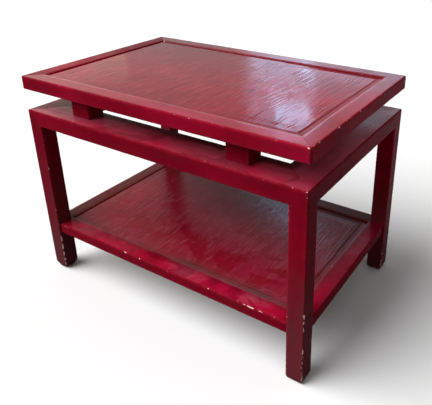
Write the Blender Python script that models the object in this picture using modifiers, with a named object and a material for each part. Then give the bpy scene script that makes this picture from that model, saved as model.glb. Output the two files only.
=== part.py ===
"""Side table in red lacquer: a framed top raised on spacer blocks, a square-legged base and a shelf.

Metres, +Z up. The origin is on the floor below the middle of the table, and X runs along its length.
"""
from math import radians

import bmesh
import bpy
from mathutils import Vector

# Overall sizes
TABLE_HEIGHT = 0.508
BASE_LENGTH = 0.720
BASE_DEPTH = 0.456

# How far the top stands out over the base at each end, and at the front and the back
TOP_END_OVERHANG = 0.002
TOP_SIDE_OVERHANG = 0.001

# Thicknesses of the three frames, and the height of the shelf's upper face above the floor
TOP_THICKNESS = 0.030
RAIL_THICKNESS = 0.036
SHELF_THICKNESS = 0.025
SHELF_HEIGHT = 0.135

# Legs, and how far the shelf lies behind their outer faces
LEG_SIZE = 0.038
SHELF_SETBACK = 0.004

# Spacer blocks: the gap that they hold open, their plan, and their place on the rails
BLOCK_HEIGHT = 0.049
BLOCK_WIDTH = 0.051
BLOCK_DEPTH = 0.042
BLOCK_SETBACK = 0.028
BLOCK_SPACING = 0.414
BLOCK_SHIFT = -0.008
BLOCK_LAND = 0.009

# Panels: the width of frame seen round them, on the shelf past the legs, their step below it, and their field
TOP_SIGHT_WIDTH = 0.0385
SHELF_SIGHT_MARGIN = 0.001
PANEL_RECESS = 0.003
PANEL_THICKNESS = 0.010
PANEL_TONGUE = 0.006
MARGIN_WIDTH = 0.012
FIELD_RISE = 0.001
FIELD_SLOPE = 0.0015

# Battens under the panels
BATTEN_WIDTH = 0.030
BATTEN_SPACING = 0.150
BATTEN_TENON_LENGTH = 0.015
DOVETAIL_DEPTH = 0.0035
DOVETAIL_FLARE = 0.002
DOVETAIL_SHOULDER = 0.004

# Joints: wood left round a tenon, and the tenons' own sizes
TENON_COVER = 0.006
MITRE_TENON_COVER = 0.014
MITRE_TENON_SHOULDER = 0.009
LEG_TENON_THICKNESS = 0.008
SHELF_TENON_THICKNESS = 0.010
SHELF_TENON_SHOULDER = 0.005
SHELF_TENON_WEB = 0.002
SHELF_TENON_ROOT = 0.010

# Pegs through the blocks
PEG_RADIUS = 0.006
PEG_DEPTH = 0.020
PEG_COVER = 0.003
PEG_CHAMFER = 0.001
PEG_SIDES = 24
PEG_SHARP_ANGLE = radians(30)

# Edges and clearances
ARRIS = 0.002
BLOCK_ARRIS = 0.0015
ARRIS_STEPS = 2
JOINT_GAP = 0.0003
CUT_MARGIN = 0.010
CUTTER_REACH = 4

# Sizes and levels that follow
TOP_LENGTH = BASE_LENGTH + 2 * TOP_END_OVERHANG
TOP_DEPTH = BASE_DEPTH + 2 * TOP_SIDE_OVERHANG
TOP_UNDERSIDE = TABLE_HEIGHT - TOP_THICKNESS
BASE_TOP = TOP_UNDERSIDE - BLOCK_HEIGHT
BASE_RAIL_WIDTH = BLOCK_SETBACK + BLOCK_DEPTH + BLOCK_LAND
TOP_RAIL_WIDTH = BASE_RAIL_WIDTH + TOP_SIDE_OVERHANG
SHELF_SIGHT_WIDTH = LEG_SIZE + SHELF_SIGHT_MARGIN

SIDES = {"front": -1, "back": 1}
ENDS = {"left": -1, "right": 1}
X, Y, Z = range(3)

# Colour as linear values, and roughness
FINISHES = {
    "frame_lacquer": ((0.190, 0.006, 0.013, 1.0), 0.34),
    "panel_lacquer": ((0.215, 0.016, 0.022, 1.0), 0.28),
    "bare_wood": ((0.420, 0.260, 0.130, 1.0), 0.70),
}

for old in list(bpy.data.objects):
    bpy.data.objects.remove(old, do_unlink=True)

PARTS = bpy.data.collections.new("side_table")
CUTTERS = bpy.data.collections.new("side_table_cutters")
for group in (PARTS, CUTTERS):
    bpy.context.scene.collection.children.link(group)


# Shapes

def add_object(name, shape, place, group):
    """Turn a bmesh into an object of a collection; cutters are left out of renders."""
    mesh = bpy.data.meshes.new(name)
    shape.to_mesh(mesh)
    shape.free()
    body = bpy.data.objects.new(name, mesh)
    body.location = place
    group.objects.link(body)
    if group is CUTTERS:
        body.hide_render = True
        body.display_type = "WIRE"
    return body


def box(name, first, second, group):
    """A box between two opposite corners, given in any order."""
    size = Vector(abs(b - a) for a, b in zip(first, second))
    shape = bmesh.new()
    bmesh.ops.create_cube(shape, size=1.0)
    bmesh.ops.scale(shape, vec=size, verts=shape.verts)
    return add_object(name, shape, (Vector(first) + Vector(second)) / 2, group)


def rod(name, place, radius, low, high, group):
    """An upright round rod at a place in plan."""
    shape = bmesh.new()
    bmesh.ops.create_cone(shape, cap_ends=True, segments=PEG_SIDES, radius1=radius, radius2=radius,
                          depth=high - low)
    return add_object(name, shape, (*place, (low + high) / 2), group)


def dovetail(name, first, second, group):
    """A box that lies along X and flares out towards its upper face."""
    body = box(name, first, second, group)
    for corner in body.data.vertices:
        if corner.co.z > 0:
            corner.co.y += DOVETAIL_FLARE if corner.co.y > 0 else -DOVETAIL_FLARE
    return body


def half_space(name, point, toward, reach):
    """A large cube that takes away what lies past a plane, from half a joint gap before it."""
    toward = toward.normalized()
    corner = Vector((reach, reach, reach)) / 2
    tool = box(name, -corner, corner, CUTTERS)
    tool.location = point + toward * (reach - JOINT_GAP) / 2
    tool.rotation_mode = "QUATERNION"
    tool.rotation_quaternion = toward.to_track_quat("Z", "Y")
    return tool


# Operations

def boolean(body, operation, tool):
    step = body.modifiers.new(tool.name, "BOOLEAN")
    step.operation = operation
    step.object = tool


def cut(body, *tools):
    for tool in tools:
        boolean(body, "DIFFERENCE", tool)


def join(body, tool):
    boolean(body, "UNION", tool)


def along(axis):
    """Test for the edges of a box that run along an axis."""
    return lambda edge: edge.verts[0].co[axis] * edge.verts[1].co[axis] < 0


def around(axis, sign):
    """Test for the four edges round the face of a box that looks along an axis."""
    return lambda edge: all(corner.co[axis] * sign > 0 for corner in edge.verts)


def round_edges(body, radius, *tests):
    """Round the edges of a box that pass any of the tests."""
    shape = bmesh.new()
    shape.from_mesh(body.data)
    weight = shape.edges.layers.float.new("bevel_weight_edge")
    for edge in shape.edges:
        edge[weight] = float(any(test(edge) for test in tests))
    shape.to_mesh(body.data)
    shape.free()
    rounding = body.modifiers.new("rounded_edges", "BEVEL")
    rounding.limit_method = "WEIGHT"
    rounding.width = radius
    rounding.segments = ARRIS_STEPS


def finish(body, kind):
    """Give a body a material of its own."""
    colour, roughness = FINISHES[kind]
    material = bpy.data.materials.new(body.name + "_" + kind)
    material.use_nodes = True
    shader = material.node_tree.nodes["Principled BSDF"]
    shader.inputs["Base Color"].default_value = colour
    shader.inputs["Roughness"].default_value = roughness
    shader.inputs["Metallic"].default_value = 0.0
    body.data.materials.append(material)


# Frames

class Corner:
    """A corner of a rectangular frame: u runs in along X, v in along Y and w down from its tip."""

    def __init__(self, side, end, length, depth, top):
        self.side = side
        self.end = end
        self.name = side + "_" + end
        self.inward = Vector((-ENDS[end], -SIDES[side], -1))
        self.tip = Vector((ENDS[end] * length / 2, SIDES[side] * depth / 2, top))

    def direction(self, u, v, w):
        return self.inward * Vector((u, v, w))

    def point(self, u, v, w):
        return self.tip + self.direction(u, v, w)

    def box(self, name, u, v, w, group):
        """A box that spans three ranges of u, v and w."""
        first, second = zip(u, v, w)
        return box(name, self.point(*first), self.point(*second), group)


class Frame:
    """A rectangular frame of two long and two short rails, mitred where they meet."""

    def __init__(self, name, length, depth, top, thickness, rail_width):
        self.name = name
        self.length = length
        self.depth = depth
        self.top = top
        self.bottom = top - thickness
        self.rail_width = rail_width
        self.corners = [Corner(side, end, length, depth, top) for side in SIDES for end in ENDS]
        self.rails = {side: self.rail(side, Y, sign) for side, sign in SIDES.items()}
        self.rails.update({end: self.rail(end, X, sign) for end, sign in ENDS.items()})
        for corner in self.corners:
            self.mitre(corner)

    def rail(self, where, across, sign):
        """A rail as long as the frame, with its outer face and long edges rounded."""
        far = Vector((self.length / 2, self.depth / 2, self.top))
        near = Vector((-self.length / 2, -self.depth / 2, self.bottom))
        far[across] = sign * far[across]
        near[across] = far[across] - sign * self.rail_width
        body = box(self.name + "_rail_" + where, near, far, PARTS)
        round_edges(body, ARRIS, along(Y if across == X else X), around(across, sign))
        finish(body, "frame_lacquer")
        return body

    def mitre(self, corner):
        """Cut the long and the short rail back to the diagonal of a corner."""
        reach = CUTTER_REACH * self.rail_width
        for rail, toward in ((corner.side, (-1, 1, 0)), (corner.end, (1, -1, 0))):
            name = self.name + "_mitre_" + corner.name + "_" + rail
            cut(self.rails[rail], half_space(name, corner.tip, corner.direction(*toward), reach))

    def mitre_tenons(self, first, last, upper, lower):
        """Tenons of the long rails in the short ones, between two distances in and two levels down."""
        for corner in self.corners:
            tenon(self.name + "_mitre_" + corner.name, corner, (MITRE_TENON_COVER, self.rail_width),
                  (first + MITRE_TENON_SHOULDER, last - MITRE_TENON_SHOULDER),
                  middle_third(upper, lower), self.rails[corner.side], self.rails[corner.end])


def middle_third(low, high):
    """The share of a thickness that a tenon takes up."""
    third = (high - low) / 3
    return low + third, high - third


def tenon(name, corner, u, v, w, holder, socket):
    """A tenon on one body, and the mortise for it in another, both in a corner's own directions."""
    join(holder, corner.box(name + "_tenon", u, v, w, CUTTERS))
    u, v, w = [(low - JOINT_GAP, high + JOINT_GAP) for low, high in (u, v, w)]
    cut(socket, corner.box(name + "_mortise", u, v, w, CUTTERS))


class Panel:
    """A floating panel with a raised field, its edges in a groove round the inside of a frame."""

    def __init__(self, frame, sight_width):
        self.frame = frame
        self.sight_width = sight_width
        self.field = frame.top - PANEL_RECESS
        self.margin = self.field - FIELD_RISE
        self.underside = self.field - PANEL_THICKNESS
        self.sight = Vector((frame.length / 2 - sight_width, frame.depth / 2 - sight_width, 0))
        self.body = self.board()
        self.seat()

    def span(self, grow, low, high):
        """Opposite corners of a box that reaches past the sight size by a given amount."""
        reach = self.sight + Vector((grow, grow, 0))
        return -reach + Vector((0, 0, low)), reach + Vector((0, 0, high))

    def board(self):
        low, high = self.span(PANEL_TONGUE - JOINT_GAP, self.underside, self.margin)
        body = box(self.frame.name + "_panel", low, high, PARTS)
        shape = bmesh.new()
        shape.from_mesh(body.data)
        top = max(shape.faces, key=lambda face: face.calc_center_median().z)
        edge = PANEL_TONGUE - JOINT_GAP + MARGIN_WIDTH
        bmesh.ops.inset_region(shape, faces=[top], thickness=edge, use_boundary=True,
                               use_even_offset=True)
        bmesh.ops.inset_region(shape, faces=[top], thickness=FIELD_SLOPE, depth=FIELD_RISE,
                               use_boundary=True, use_even_offset=True)
        shape.to_mesh(body.data)
        shape.free()
        finish(body, "panel_lacquer")
        return body

    def seat(self):
        """Groove the rails for the panel, and open the frame above it where the rails run under it."""
        name = self.frame.name + "_panel"
        bottom = self.underside - JOINT_GAP
        groove = box(name + "_groove", *self.span(PANEL_TONGUE, bottom, self.margin + JOINT_GAP), CUTTERS)
        opening = box(name + "_opening", *self.span(0, bottom, self.frame.top + CUT_MARGIN), CUTTERS)
        for rail in self.frame.rails.values():
            cut(rail, groove)
            if self.frame.rail_width > self.sight_width:
                cut(rail, opening)

    def batten(self, side):
        """A batten dovetailed to the underside of the panel and tenoned into the short rails."""
        frame = self.frame
        name = frame.name + "_batten_" + side
        middle = SIDES[side] * BATTEN_SPACING / 2
        half = frame.length / 2 - frame.rail_width - JOINT_GAP
        top = self.underside - JOINT_GAP
        body = box(name, (-half, middle - BATTEN_WIDTH / 2, frame.bottom),
                   (half, middle + BATTEN_WIDTH / 2, top), PARTS)
        finish(body, "bare_wood")
        neck = BATTEN_WIDTH / 2 - DOVETAIL_SHOULDER - DOVETAIL_FLARE
        key_top = self.underside + DOVETAIL_DEPTH
        key = dovetail(name + "_key", (-half + JOINT_GAP, middle - neck, top - JOINT_GAP),
                       (half - JOINT_GAP, middle + neck, key_top - JOINT_GAP), CUTTERS)
        join(body, key)
        slot = dovetail(name + "_slot", (-half, middle - neck - JOINT_GAP, top - JOINT_GAP),
                        (half, middle + neck + JOINT_GAP, key_top), CUTTERS)
        cut(self.body, slot)
        cheek = BATTEN_WIDTH / 2 - DOVETAIL_SHOULDER
        for end in ENDS:
            corner = Corner(side, end, frame.length, BATTEN_SPACING, top)
            tenon(name + "_" + end, corner,
                  (frame.rail_width - BATTEN_TENON_LENGTH, frame.rail_width + BATTEN_TENON_LENGTH),
                  (-cheek, cheek), middle_third(0, top - frame.bottom), body, frame.rails[end])


# Base

def leg(base, shelf, corner):
    """A leg whose head is a three-way mitre with two rails, and which holds the shelf's tenons."""
    length = base.top
    body = corner.box("leg_" + corner.name, (0, LEG_SIZE), (0, LEG_SIZE), (0, length), PARTS)
    round_edges(body, ARRIS, along(Z), around(Z, -1))
    finish(body, "frame_lacquer")
    long_rail = base.rails[corner.side]
    short_rail = base.rails[corner.end]
    reach = CUTTER_REACH * LEG_SIZE
    long_slope = corner.direction(1 / LEG_SIZE, 0, -1 / RAIL_THICKNESS)
    short_slope = corner.direction(0, 1 / LEG_SIZE, -1 / RAIL_THICKNESS)
    for rail, slope in ((long_rail, long_slope), (short_rail, short_slope)):
        cut(body, half_space(body.name + "_head_" + rail.name, corner.tip, slope, reach))
        cut(rail, half_space(rail.name + "_end_" + corner.name, corner.tip, -slope, reach))

    wide = (LEG_SIZE / 2, LEG_SIZE - TENON_COVER)
    thin = (TENON_COVER, TENON_COVER + LEG_TENON_THICKNESS)
    rise = (TENON_COVER, RAIL_THICKNESS)
    tenon(body.name + "_long", corner, wide, thin, rise, body, long_rail)
    tenon(body.name + "_short", corner, thin, wide, rise, body, short_rail)

    column = corner.box(body.name + "_column", (-CUT_MARGIN, LEG_SIZE + JOINT_GAP),
                        (-CUT_MARGIN, LEG_SIZE + JOINT_GAP), (0, length), CUTTERS)
    long_shelf = shelf.rails[corner.side]
    short_shelf = shelf.rails[corner.end]
    cut(long_shelf, column)
    cut(short_shelf, column)
    cheek = SHELF_SETBACK + TENON_COVER
    thin = (cheek, cheek + SHELF_TENON_THICKNESS)
    deep = (thin[1] + SHELF_TENON_WEB, LEG_SIZE + SHELF_TENON_ROOT)
    drop = (base.top - shelf.top + SHELF_TENON_SHOULDER, base.top - shelf.bottom - SHELF_TENON_SHOULDER)
    tenon(body.name + "_long_shelf", corner, deep, thin, drop, long_shelf, body)
    tenon(body.name + "_short_shelf", corner, thin, deep, drop, short_shelf, body)
    return column


# Spacers

def spacer(base, top, corner, ledge):
    """A block on the base that carries the top, with a peg through it into the rails on both sides."""
    x = BLOCK_SHIFT + ENDS[corner.end] * BLOCK_SPACING / 2
    y = corner.point(0, BLOCK_SETBACK + BLOCK_DEPTH / 2, 0).y
    half = Vector((BLOCK_WIDTH / 2, BLOCK_DEPTH / 2, 0))
    block = box("spacer_" + corner.name, Vector((x, y, base.top + JOINT_GAP)) - half,
                Vector((x, y, top.bottom - JOINT_GAP)) + half, PARTS)
    round_edges(block, BLOCK_ARRIS, along(Z))
    finish(block, "frame_lacquer")

    low = base.top - PEG_DEPTH
    high = ledge - PEG_COVER
    peg = rod("peg_" + corner.name, (x, y), PEG_RADIUS, low, high, PARTS)
    peg.data.shade_smooth()
    peg.data.set_sharp_from_angle(angle=PEG_SHARP_ANGLE)
    chamfer = peg.modifiers.new("chamfered_ends", "BEVEL")
    chamfer.limit_method = "ANGLE"
    chamfer.width = PEG_CHAMFER
    chamfer.segments = 1
    finish(peg, "bare_wood")
    hole = rod(peg.name + "_hole", (x, y), PEG_RADIUS + JOINT_GAP, low - JOINT_GAP, high + JOINT_GAP, CUTTERS)
    cut(base.rails[corner.side], hole)
    cut(block, hole)
    cut(top.rails[corner.side], hole)


def build():
    top = Frame("top", TOP_LENGTH, TOP_DEPTH, TABLE_HEIGHT, TOP_THICKNESS, TOP_RAIL_WIDTH)
    base = Frame("base", BASE_LENGTH, BASE_DEPTH, BASE_TOP, RAIL_THICKNESS, BASE_RAIL_WIDTH)
    shelf = Frame("shelf", BASE_LENGTH - 2 * SHELF_SETBACK, BASE_DEPTH - 2 * SHELF_SETBACK, SHELF_HEIGHT,
                  SHELF_THICKNESS, SHELF_SIGHT_WIDTH)
    top_panel = Panel(top, TOP_SIGHT_WIDTH)
    shelf_panel = Panel(shelf, SHELF_SIGHT_WIDTH)
    for panel in (top_panel, shelf_panel):
        for side in SIDES:
            panel.batten(side)

    ledge = top_panel.underside - JOINT_GAP
    top.mitre_tenons(0, TOP_RAIL_WIDTH, TABLE_HEIGHT - ledge, TOP_THICKNESS)
    base.mitre_tenons(LEG_SIZE, BASE_RAIL_WIDTH, 0, RAIL_THICKNESS)
    for corner in base.corners:
        column = leg(base, shelf, corner)
        cut(shelf_panel.body, column)
        spacer(base, top, corner, ledge)


build()
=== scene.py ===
import math
import random
from itertools import product

import bmesh
import bpy
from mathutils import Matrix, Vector, noise

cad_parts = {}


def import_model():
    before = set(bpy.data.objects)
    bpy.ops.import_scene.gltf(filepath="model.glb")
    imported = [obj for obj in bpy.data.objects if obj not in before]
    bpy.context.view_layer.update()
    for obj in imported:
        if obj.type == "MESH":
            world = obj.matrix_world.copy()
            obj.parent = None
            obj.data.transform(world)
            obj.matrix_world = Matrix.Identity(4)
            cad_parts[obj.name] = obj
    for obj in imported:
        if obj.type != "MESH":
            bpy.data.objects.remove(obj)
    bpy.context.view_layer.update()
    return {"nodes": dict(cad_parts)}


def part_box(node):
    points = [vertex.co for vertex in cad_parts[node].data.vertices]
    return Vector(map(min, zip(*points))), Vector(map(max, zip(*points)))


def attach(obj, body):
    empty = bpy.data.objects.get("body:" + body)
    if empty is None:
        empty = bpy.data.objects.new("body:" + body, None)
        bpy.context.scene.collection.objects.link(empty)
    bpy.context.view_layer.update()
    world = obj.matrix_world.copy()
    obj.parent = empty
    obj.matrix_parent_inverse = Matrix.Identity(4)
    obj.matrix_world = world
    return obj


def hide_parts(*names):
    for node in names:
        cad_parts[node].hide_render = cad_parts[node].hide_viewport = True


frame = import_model()

# Worn red lacquer: pale ground shows where it has chipped, and open grain shows through it. Metres, in the
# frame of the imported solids. Each lacquered piece stands for the solid of the same name.

SIDES = {"front": -1, "back": 1}
ENDS = {"left": -1, "right": 1}
CORNERS = [side + "_" + end for side in SIDES for end in ENDS]
UP = Vector((0, 0, 1))
TOLERANCE = 1e-6

# Seeds of the chips and the unevenness, and of the grain
SEED = 11
PANEL_SEEDS = {"top": 17.0, "shelf": 34.0}

# Rounded edges; the edge round a panel is eased more along the top than down the wall
ARRIS = 0.0026
SIGHT_EASE = 0.005
SIGHT_DROP = 0.0022
BLOCK_ARRIS = 0.0016
CORNER_ROUNDING = 0.005
ARC_STEPS = 4
ARC_PLACES = [1 - math.tan(math.pi / 4 * (1 - 2 * k / ARC_STEPS)) for k in range(ARC_STEPS // 2 + 1)]
SHARP_ANGLE = math.radians(35)

# Feet: height and depth of their rounding; one is worn rounder, also at its corners
FOOT_ROUNDING = 0.011
FOOT_INSET = 0.0035
ROUND_FOOT = {"front_left": (0.018, 0.006)}

# Spacing of the meshes along a rail, across it, and beside its roundings where there is room
RUN_SPACING = 0.005
SPACING = 0.01
HOLDS = (0.0015, 0.005)
HOLD_ROOM = 4

# Edges are rubbed in patches and nibbled in smaller ones; the shifts widen or narrow these
WEAR_REACH = 0.002
WEAR_DEPTH = 0.0003
WEAR_SCALE = 55.0
WEAR_SHIFT = 0.25
NIBBLE_DEPTH = 0.0003
NIBBLE_SCALE = 170.0
NIBBLE_SHIFT = -0.05

# Hand-planed unevenness of every surface, less on the panels
RIPPLE_DEPTH = 0.00022
RIPPLE_SCALE = 9.0
PANEL_RIPPLE = 0.3

# Open line of the mitres, and the faces of a rail that take the finish of its top
MITRE_GAP = 0.00022
POLISHED_SLOPE = 0.3
RUBBED_EDGE = 0.0025

# Painted shade: a dark band along the inner edge of the base, where the top shades it
UNDER_TOP_SHADE_BAND = 0.026
UNDER_TOP_SHADE_FADE = 0.012

# Darkening of the top of a rail beside its panel: share and reach
INNER_DARKENING = {"top": 0.0, "shelf": 0.5}
INNER_REACH = 0.013

# The top's frame is darker towards three of its corners: radius and share
DARKER_CORNERS = {"top": {"back_left": (0.26, 0.8), "back_right": (0.1, 0.6), "front_left": (0.06, 0.5)}}

# Panels, as in the solids: tongue in the groove, flat margin, slope and raised field
TONGUE = 0.0057
JOINT_GAP = 0.0003
MARGIN_WIDTH = 0.012
SLOPE_START = TONGUE + MARGIN_WIDTH
FIELD_SLOPE = 0.0015
FIELD_RISE = 0.001
PANEL_STEP = (0.0008, 0.0045)

# Lacquer has filled the slope along the front and towards the left, where it is wider
FRONT_SLOPE = 0.08
SLOPE_SOFTNESS = 12
SLOPE_DIRT = 0.55

# Fine grooves round a field: distances from the frame, size and dirt, and their share on the field
GROOVES = {
    "top": (0.0026, 0.0058, 0.009),
    "shelf": (0.0026, 0.0058, 0.009, 0.017, 0.0215, 0.0265),
}
GROOVE_WIDTH = 0.0013
GROOVE_DEPTH = 0.00035
GROOVE_DIRT = 0.6
FIELD_GROOVE = 0.45

# Where the lines round a field begin to show, and over what reach: shares of half the panel's length
LINE_START = {"top": 0.1, "shelf": -0.5}
LINE_FADE = 0.6

# Darkening of a panel's border: width and share all round, along the front, and close to the frame (painted
# shade)
BORDER_WIDTH = 0.06
BORDER_SHARE = 0.6
FRONT_BORDER = 0.036
FRONT_SHARE = 0.9
NARROW_BORDER = 0.006
RIGHT_NARROW_SHARE = 0.35

# Painted shade towards the back of a panel: share, loss to the right, and where that begins and ends
BACK_PAINTED_SHADE = {"top": (0.55, 1.0, -0.4, 0.2), "shelf": (0.92, 0.55, 0.1, 0.7)}
PAINTED_SHADE_LEAD = 0.045

# Lines of the open grain: pitch, share of the pitch, breaks per metre and strength
GRAIN_LINES = {
    "top": ((0.0146, 0.085, 12.0, 1.0), (0.0083, 0.12, 18.0, 0.9), (0.0047, 0.18, 28.0, 0.3)),
    "shelf": ((0.0072, 0.13, 11.0, 1.0), (0.0041, 0.2, 21.0, 0.8)),
}
GRAIN_DEPTH = {"top": 0.0003, "shelf": 0.00044}

# Fine fibres between the lines: height, and waves per metre along X and Y
FIBRE_DEPTH = {"top": 0.000012, "shelf": 0.00008}
FIBRE_SCALE = (190, 16)

# The grain is faint on the margin and full on the field
MARGIN_GRAIN = 0.3
GRAIN_START = 0.002
GRAIN_FADE = 0.004
FIELD_FADE = 0.006

# Waves of the grain: sway and waves per metre along X and Y; the short ones fade to the right
LONG_WAVE = 0.012
LONG_WAVE_SCALE = (7, 5)
SHORT_WAVE = 0.0085
SHORT_WAVE_SCALE = (18, 36)
WAVE_LOSS = 0.6
WAVE_FADE_START = -0.16
WAVE_FADE = 0.28

# A line wanders in its lane and breaks off, and whole patches of lines are faint
WANDER = 0.3
WANDER_SCALE = (5.3, 6)
BREAK_HOP = 3.7
BREAK_MEAN = 0.4
BREAK_SWING = 1.7
PATCH_SCALE = (6, 8)
PATCH_MEAN = 0.8
PATCH_SWING = 0.6

# Layers of the noise over a panel, counted from its seed
PATCH_LAYER = 3
BREAK_LAYER = 9
FIBRE_LAYER = 13

# A smooth spot on each panel, where lacquer fills the grain: middle, radius and share lost
CALM_SPOTS = {"top": ((0.262, -0.108), 0.055, 0.75), "shelf": ((0.14, -0.13), 0.12, 0.65)}

# Chips bitten out of the edges by rough pebbles
CHIP_RADIUS = 0.0014
CHIP_SPREAD = 1.3
CHIP_JITTER = 0.28
LEG_CHIP_LEAN = 0.35

# Chips seen in the photograph: distance from the edge's low end in X, Y or Z, length and depth
SEEN_CHIPS = {
    ("top_rail_front", "top"): (
        (0.284, 0.004, 0.0003), (0.319, 0.004, 0.0003), (0.445, 0.003, 0.0003), (0.478, 0.005, 0.0004),
        (0.719, 0.007, 0.0006)),
    ("top_rail_right", "top"): (
        (0.03, 0.006, 0.0006), (0.105, 0.008, 0.0008), (0.138, 0.005, 0.0005), (0.197, 0.006, 0.0005),
        (0.303, 0.005, 0.0004)),
    ("top_rail_right", "sight"): ((0.2, 0.006, 0.0012),),
    ("top_rail_back", "sight"): ((0.004, 0.006, 0.0012),),
    ("base_rail_front", "top"): ((0.7075, 0.008, 0.0004), (0.7165, 0.005, 0.0008)),
    ("shelf_rail_front", "top"): (
        (0.255, 0.013, 0.0006), (0.3, 0.007, 0.0003), (0.379, 0.009, 0.0005), (0.491, 0.008, 0.0004),
        (0.58, 0.01, 0.0005), (0.594, 0.022, 0.0009), (0.619, 0.012, 0.0005)),
    ("leg_front_right", "front right"): (
        (0.17, 0.013, 0.0014), (0.156, 0.009, 0.0007), (0.1385, 0.026, 0.0006), (0.0873, 0.018, 0.0006),
        (0.06, 0.02, 0.0003), (0.02, 0.04, 0.0006)),
    ("leg_front_left", "front right"): (
        (0.092, 0.018, 0.001), (0.0705, 0.02, 0.0012), (0.0495, 0.018, 0.001), (0.031, 0.015, 0.0013),
        (0.0155, 0.014, 0.0011), (0.177, 0.007, 0.0008), (0.2875, 0.007, 0.0009)),
}

# Edges that the photograph shows without a chip
CLEAN_EDGES = {
    "top_rail_front": ("bottom", "sight"), "top_rail_right": ("bottom",), "top_rail_left": ("top", "sight"),
    "top_rail_back": ("top",), "base_rail_front": ("bottom",), "base_rail_right": ("top", "bottom"),
    "shelf_rail_front": ("bottom",), "shelf_rail_right": ("top",), "shelf_rail_left": ("top", "sight"),
    "shelf_rail_back": ("top", "sight"), "leg_front_right": ("front left", "back right"),
    "leg_front_left": ("front left", "back right"),
    "leg_back_right": ("front left", "front right", "back right"),
}

# Random chips on the other edges
CHIPS_PER_METRE = {"top": 5, "bottom": 3, "sight": 1.5, "low leg": 22, "high leg": 4}
CHIP_CLEARANCE = 0.012
CHIP_LENGTHS = (0.003, 0.011)
CHIP_DEPTHS = (0.0004, 0.0012)
LOW_LEG = 0.11

dice = random.Random(SEED)
noise.seed_set(SEED)


# Mesh helpers

def outward(side):
    """Direction out of the table at a side or an end."""
    return Vector((ENDS.get(side, 0), SIDES.get(side, 0), 0))


def smooth_step(value):
    value = min(1.0, max(0.0, value))
    return value * value * (3 - 2 * value)


def new_object(name, shape, material):
    """Turn a bmesh into an object."""
    mesh = bpy.data.meshes.new(name)
    shape.to_mesh(mesh)
    shape.free()
    mesh.materials.append(material)
    made = bpy.data.objects.new(name, mesh)
    bpy.context.scene.collection.objects.link(made)
    return made


def new_piece(name, points, faces, material, **marks):
    """A mesh object whose points carry marks for the material."""
    mesh = bpy.data.meshes.new(name)
    mesh.from_pydata(points, [], faces)
    shape = bmesh.new()
    shape.from_mesh(mesh)
    bpy.data.meshes.remove(mesh)
    bmesh.ops.recalc_face_normals(shape, faces=shape.faces)
    piece = new_object(name, shape, material)
    for mark, values in marks.items():
        piece.data.attributes.new(mark, "FLOAT", "POINT").data.foreach_set("value", values)
    return piece


def between(low, high, spacing):
    """Even places from low to high, both left out."""
    count = max(1, math.ceil((high - low) / spacing))
    return [low + (high - low) * k / count for k in range(1, count)]


def stretch(low, high, spacing):
    """Places along a flat stretch, some close to its ends to hold the shading of the roundings."""
    holds = [hold for hold in HOLDS if high - low > HOLD_ROOM * hold]
    first = [low] + [low + hold for hold in holds]
    last = [high - hold for hold in reversed(holds)] + [high]
    return first[1:] + between(first[-1], last[0], spacing) + last[:-1]


def box_lines(low, high, first, last, spacing):
    """Grid lines across a box whose roundings reach in by the given amounts."""
    flat = stretch(low + first, high - last, spacing)
    return [low + first * d for d in ARC_PLACES] + flat + [high - last * d for d in reversed(ARC_PLACES)]


def grid_faces(columns, rows, closed=False):
    """Faces of a grid whose points are counted row by row; a closed one is a tube."""
    faces = []
    for row, column in product(range(rows - 1), range(columns if closed else columns - 1)):
        here, after = row * columns + column, row * columns + (column + 1) % columns
        faces.append((here, after, after + columns, here + columns))
    return faces


def grid_rim(columns, rows):
    """Points round the edge of a grid, in order."""
    last_row = (rows - 1) * columns
    rim = list(range(columns)) + [row * columns + columns - 1 for row in range(1, rows)]
    rim += [last_row + column for column in range(columns - 2, -1, -1)]
    return rim + [row * columns for row in range(rows - 2, 0, -1)]


def rippled(point, share=1.0):
    """A point shifted a little by the unevenness that all pieces share."""
    return point + noise.noise_vector(point * RIPPLE_SCALE) * RIPPLE_DEPTH * share


def worn_by(point):
    """How far an edge is rubbed and nibbled back at a point."""
    rubbed = WEAR_DEPTH * max(0.0, noise.noise(point * WEAR_SCALE) + WEAR_SHIFT)
    return rubbed + NIBBLE_DEPTH * max(0.0, noise.noise(point * NIBBLE_SCALE) + NIBBLE_SHIFT)


def closeness(distance):
    """1 at an edge, falling to 0 away from it."""
    return math.exp(-max(0.0, distance) / WEAR_REACH)


def outline(corners):
    """Points round a section whose corners are (inward, down, rounding before, rounding after)."""
    points = []
    for i, (v, w, back, ahead) in enumerate(corners):
        here = Vector((v, w))
        v2, w2, next_back, _ = corners[(i + 1) % len(corners)]
        before = (here - Vector(corners[i - 1][:2])).normalized()
        after = (Vector((v2, w2)) - here).normalized()
        rounded = back > 0
        push = (after - before).normalized() if rounded else Vector((0, 0))
        for k in range(ARC_STEPS + 1 if rounded else 1):
            turn = math.pi / 2 * k / ARC_STEPS
            arc = after * ahead * (1 - math.cos(turn)) - before * back * (1 - math.sin(turn))
            points.append((here + arc, float(rounded), push))
        length = (Vector((v2, w2)) - here).length
        for place in stretch(ahead, length - next_back, SPACING):
            near = place - ahead if ahead else length
            far = length - next_back - place if next_back else length
            points.append((here + after * place, closeness(min(near, far)), Vector((0, 0))))
    return points


def drawn_in(point, low, high, foot, corner):
    """Draw a point near a leg's foot in towards the middle, more so at the corners."""
    depth = max(0.0, 1 - (point.z - low.z) / foot)
    half = (high - low) / 2
    offset = point - (low + high) / 2
    cornerness = (offset.x / half.x * offset.y / half.y) ** 2
    inset = FOOT_INSET * (1 - math.sqrt(1 - depth * depth)) + corner * depth * depth * cornerness
    moved = point.copy()
    for a in range(2):
        moved[a] -= offset[a] * inset / half[a]
    return moved


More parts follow.
